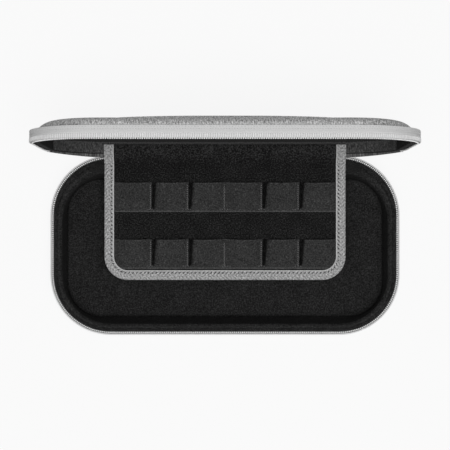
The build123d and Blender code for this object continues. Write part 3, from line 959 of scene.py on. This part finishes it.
pitchX = 2 * pocket["half"] / pocket["columns"]
threadHeight = pocket["base"] + pocket["cloth"] + pocketThread["proud"]
pocketStitches = []
for label, mouth, seed in (("upper", pocket["mouths"][0], 1.0), ("lower", pocket["mouths"][1], 2.6)):
    pocketStrip(f"{label}Pockets", f"{label}_pocket_strip", mouth, seed)
    hemY = mouth - pocket["height"] + hemStitch["rise"]
    for seam in range(1, pocket["columns"]):
        kind = seamStitch if seam in pleat["seams"] else middleStitch
        leans = (kind["slant"],) if seam in pleat["seams"] else (kind["slant"], -kind["slant"])
        seamX = -pocket["half"] + seam * pitchX - pocketThread["left"]
        start = (seamX, hemY + pocketThread["above"], threadHeight)
        count = int((pocket["height"] - hemStitch["rise"] - pocketThread["spare"]) / kind["pitch"])
        pocketStitches += stitchLine("seam", kind["size"], leans, start, (0, kind["pitch"], 0), count)
    start = (-pocket["half"] + hemStitch["in"], hemY, threadHeight)
    count = int(2 * (pocket["half"] - hemStitch["in"]) / hemStitch["pitch"])
    pocketStitches += stitchLine("hem", hemStitch["size"], (0,), start, (hemStitch["pitch"], 0, 0), count)
stitches = joinPieces("pocketStitches", pocketStitches)
dress(stitches, greyThread, "flap")
print("pockets made")

# Cloth that joins the flap to the lid, with its own length of binding at each side
# pale is painted light on the root, rising from paintedLightFrom towards the lid
root = {"half": 95.0, "thickness": 1.2, "pale": 0.05, "paintedLightFrom": (70, 80)}
root["route"] = [(68.62, 28.8), (70.5, 29.0), (73.5, 31.0), (76.2, 32.4), (79.0, 32.5), (84.9, 32.45)]
rootBand = {"thickness": 2.4, "rise": -0.05, "edge": 0.7}


def hangBetween(piece, material):
    piece.data.materials.append(material)
    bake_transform(piece)


flapRoot, rootRun = clothStrip("flapRoot", root["half"], root["route"], 60, 30)
paintShade(flapRoot, root["pale"] * ease(*root["paintedLightFrom"], points(flapRoot)[:, 1]))  # painted light, paler towards the lid
thicken(flapRoot, root["thickness"], 0)
outwards(flapRoot)
smooth(flapRoot, 50)
hangBetween(flapRoot, blackFleece)
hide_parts("flap_root")
toSide = flap["half"] - flap["front"] + flap["corner"] * (pi / 2 - 2)  # way round the edge to y = 0
for label, side in (("Left", -1), ("Right", 1)):
    centre = side * (flap["half"] - bindWidth / 2)
    strip, _ = clothStrip(f"rootBinding{label}", bindWidth / 2, root["route"], 8, 30, centre)
    co = points(strip)
    pointUv(strip, side * (toSide + co[:, 1]), flap["half"] - abs(co[:, 0]))
    movePoints(strip, co + np.array([0, 0, rootBand["rise"]]))
    thicken(strip, rootBand["thickness"], 0)
    outwards(strip)
    roundEdges(strip, rootBand["edge"], 3, 60)
    smooth(strip, 50)
    hangBetween(strip, greyTwill)
print("flap root made")

# Tails of the zip on the rear wall, with a slider and its pull on each; bars as (size, edge)
tail = {
    "from": 72.2, "straightTo": 96.0, "past": 4.0, "climb": 0.35, "height": 19.75, "face": 76.0,
    "tooth": ((1.15, 1.3, 4.4), 0.3), "toothOut": 0.7, "pitch": 1.65,
    "back": ((26.8, 0.7, 5.0), 0.2), "stop": ((3.9, 1.7, 7.9), 0.5), "stopX": 70.1,
}
slider = {
    "x": 77.0, "face": 76.25, "plate": ((9.5, 1.2, 7.6), 0.4), "plateOut": 2.3,
    "slimFrom": 2.0, "slim": 0.72, "flange": ((8.17, 1.9, 0.9), 0.25), "flangeAt": (0.95, 3.05),
    "rib": ((8.55, 0.5, 1.6), 0.2), "ribOut": 3.0, "wire": 0.45, "bailRadius": 2.7,
}
pull = {
    "length": 22.0, "width": 6.0, "corner": 1.6, "thick": 0.8, "border": 0.75, "slope": 0.2, "sunk": 0.18,
    "window": (3.9, 3.7, 4), "windowIn": 3.0, "hole": (2.6, 2.6, 4), "holeIn": 3.2, "holeEdge": 0.8,
    "face": 80.7, "overlap": 0.5,  # overlap: how far it reaches past the bail
}


def zipTail(label, side):
    units, face, height = [], tail["face"], tail["height"]
    for i in range(int((tail["straightTo"] + tail["past"] - tail["from"]) / tail["pitch"])):
        x = tail["from"] + (i + 0.5) * tail["pitch"]
        rise = tail["climb"] * max(0.0, x - tail["straightTo"])
        spot = (side * x, face + tail["toothOut"], height + rise)
        units.append(bar("tooth", *tail["tooth"], spot))
    backX = (tail["from"] + tail["straightTo"]) / 2
    for kind, x in (("back", backX), ("stop", tail["stopX"])):
        size, edge = tail[kind]
        units.append(bar(kind, size, edge, (side * x, face + size[1] / 2, height)))
    piece = joinPieces(f"zipTail{label}", units)
    smooth(piece)
    dress(piece, paleNylon, "tray", [f"zip_tail_{label.lower()}"])


def zipSlider(label, side):
    x, face, height = side * slider["x"], slider["face"], tail["height"]
    plate = bar("plate", *slider["plate"], (x, face + slider["plateOut"], height))
    co = points(plate)
    slim = (co[:, 0] - x) * side > slider["slimFrom"]  # the tail end is slimmer than the mouth
    co[slim, 2] = height + (co[slim, 2] - height) * slider["slim"]
    movePoints(plate, co)
    units = [plate]
    out, apart = slider["flangeAt"]
    for way in (-1, 1):
        units.append(bar("flange", *slider["flange"], (x, face + out, height + way * apart)))
    middle = (x, face + slider["ribOut"], height)
    units.append(bar("rib", *slider["rib"], middle))
    clearSelection()
    bailFoot = [c * mm for c in (x - slider["bailRadius"], *middle[1:])]
    bpy.ops.mesh.primitive_circle_add(vertices=10, radius=slider["wire"] * mm, location=bailFoot)
    bail = bpy.context.object
    bpy.ops.object.transform_apply()
    upright = {"value": radians(90), "orient_axis": "X", "center_override": bailFoot}
    edit(bail, "VERT", None, bpy.ops.transform.rotate, **upright)
    bow = {"steps": 14, "angle": -pi, "center": [c * mm for c in middle], "axis": (0, 0, 1)}
    edit(bail, "VERT", None, bpy.ops.mesh.spin, **bow)
    units.append(bail)
    piece = joinPieces(f"slider{label}", units)
    outwards(piece)
    smooth(piece)
    dress(piece, darkMetal, f"slider_{label.lower()}", [f"slider_{label.lower()}"])


def zipPull(label, side):
    piece = startMesh(f"pull{label}")
    half = pull["length"] / 2
    addOutline(pull["length"], pull["width"], pull["corner"], 0, steps=6)
    bpy.ops.mesh.inset(thickness=pull["border"] * mm, depth=0)
    bpy.ops.mesh.inset(thickness=pull["slope"] * mm, depth=-pull["sunk"] * mm)
    bpy.ops.object.mode_set(mode="OBJECT")
    thicken(piece, pull["thick"])
    for kind, x in (("window", pull["windowIn"] - half), ("hole", half - pull["holeIn"])):
        cutter = bar(kind, pull[kind], pull["holeEdge"], (x, 0, 0))
        modify(piece, "BOOLEAN", object=cutter, operation="DIFFERENCE")
        bpy.data.objects.remove(cutter)
    smooth(piece, 30)
    spot = (side * (slider["x"] - half + pull["overlap"]), pull["face"], tail["height"])
    turn = Matrix.Translation([s * mm for s in spot]) @ Matrix.Rotation(radians(-90), 4, "X")
    if side > 0:
        turn = turn @ Matrix.Rotation(pi, 4, "Z")
    place(piece, turn)
    dress(piece, darkMetal, f"pull_{label.lower()}", [f"pull_{label.lower()}"])


for label, side in (("Left", -1), ("Right", 1)):
    zipTail(label, side)
    zipSlider(label, side)
    zipPull(label, side)
print("sliders made")

# Floor, light and camera
studio = {"floorSize": 6.0, "floorLevel": -0.0005, "floorGrey": 0.6, "floorWhite": 0.88, "sky": 0.24}
overhead = {"size": 1.3, "power": 43.0, "place": (0.12, -0.3, 2.2), "aim": (0, 0.03, 0.03)}


def seenRays(tree):  # 1 for what the camera sees, straight or in a reflection
    rays = addNode(tree, "ShaderNodeLightPath").outputs
    seen = mathOf(tree, "MAXIMUM", rays["Is Camera Ray"], rays["Is Glossy Ray"])
    return mathOf(tree, "MAXIMUM", seen, rays["Is Transmission Ray"])


clearSelection()
bpy.ops.mesh.primitive_plane_add(size=studio["floorSize"], location=(0, 0, studio["floorLevel"]))
floor = bpy.context.object
floor.name = "floor"
floorGrey = (studio["floorGrey"],) * 3 + (1,)
floorMaterial, floorTree, floorShader = startMaterial("paleFloor", 0.9, Base_Color=floorGrey)
floorGlow = addNode(floorTree, "ShaderNodeEmission", {"Color": (1, 1, 1, 1), "Strength": 1.0})
floorShare = mathOf(floorTree, "MULTIPLY", seenRays(floorTree), studio["floorWhite"])
floorParts = {"Fac": floorShare, 1: floorShader.outputs["BSDF"], 2: floorGlow.outputs["Emission"]}
floorMix = addNode(floorTree, "ShaderNodeMixShader", floorParts)
floorTree.links.new(floorMix.outputs["Shader"], floorTree.nodes["Material Output"].inputs["Surface"])
floor.data.materials.append(floorMaterial)

world = bpy.data.worlds.new("studio")
bpy.context.scene.world = world
world.use_nodes = True
worldTree = world.node_tree
skyRange = {"Value": seenRays(worldTree), "To Min": studio["sky"], "To Max": 1.0}
strength = addNode(worldTree, "ShaderNodeMapRange", skyRange)
worldTree.links.new(strength.outputs["Result"], worldTree.nodes["Background"].inputs["Strength"])
worldTree.nodes["Background"].inputs["Color"].default_value = (1, 1, 1, 1)

bpy.ops.object.light_add(type="AREA", location=overhead["place"])
lamp = bpy.context.object
lamp.data.size = overhead["size"]
lamp.data.energy = overhead["power"]
lamp.rotation_euler = (Vector(overhead["aim"]) - lamp.location).to_track_quat("-Z", "Y").to_euler()

view = {"focal": 92.0, "height": 1.001, "behind": 0.017}  # straight down, as the photograph
camera = bpy.data.objects.new("camera", bpy.data.cameras.new("camera"))
bpy.context.scene.collection.objects.link(camera)
camera.location = (0, view["behind"], view["height"])
camera.data.lens = view["focal"]
camera.data.sensor_width = 36
camera.data.clip_start = 0.05
bpy.context.scene.camera = camera
bpy.context.scene.view_settings.view_transform = "Standard"
print("studio set")
